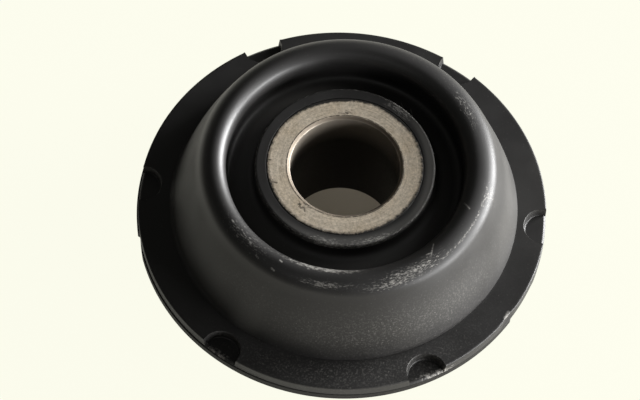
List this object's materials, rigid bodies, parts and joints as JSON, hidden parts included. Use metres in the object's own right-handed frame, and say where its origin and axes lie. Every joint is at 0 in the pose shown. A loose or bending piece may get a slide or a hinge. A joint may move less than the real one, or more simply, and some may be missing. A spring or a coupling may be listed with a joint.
{
  "type": "control arm bushing",
  "caption": "Flanged rubber-to-metal bush for a control arm: a steel inner sleeve in a domed rubber body with a rolled lip, a deep ring well and half-round pockets round its flange.",
  "frame": {"origin": "centre of the sleeve's lower end, on which the bush stands", "axes": "+Z along the bore, from the spigot to the lip; +X through the middle of one flange pocket"},
  "size_m": [0.0542, 0.0542, 0.0202],
  "materials": {
    "sleeve_steel": "bare steel, faced and lightly blasted, with dirt at its outer edge",
    "rubber": "satin black moulded rubber, dusty and scuffed",
    "shell_steel": "black coated pressed steel"
  },
  "bodies": {
    "root": {"inner_sleeve": "sleeve_steel", "rubber_body": "rubber", "outer_shell": "shell_steel"}
  },
  "joints": []
}
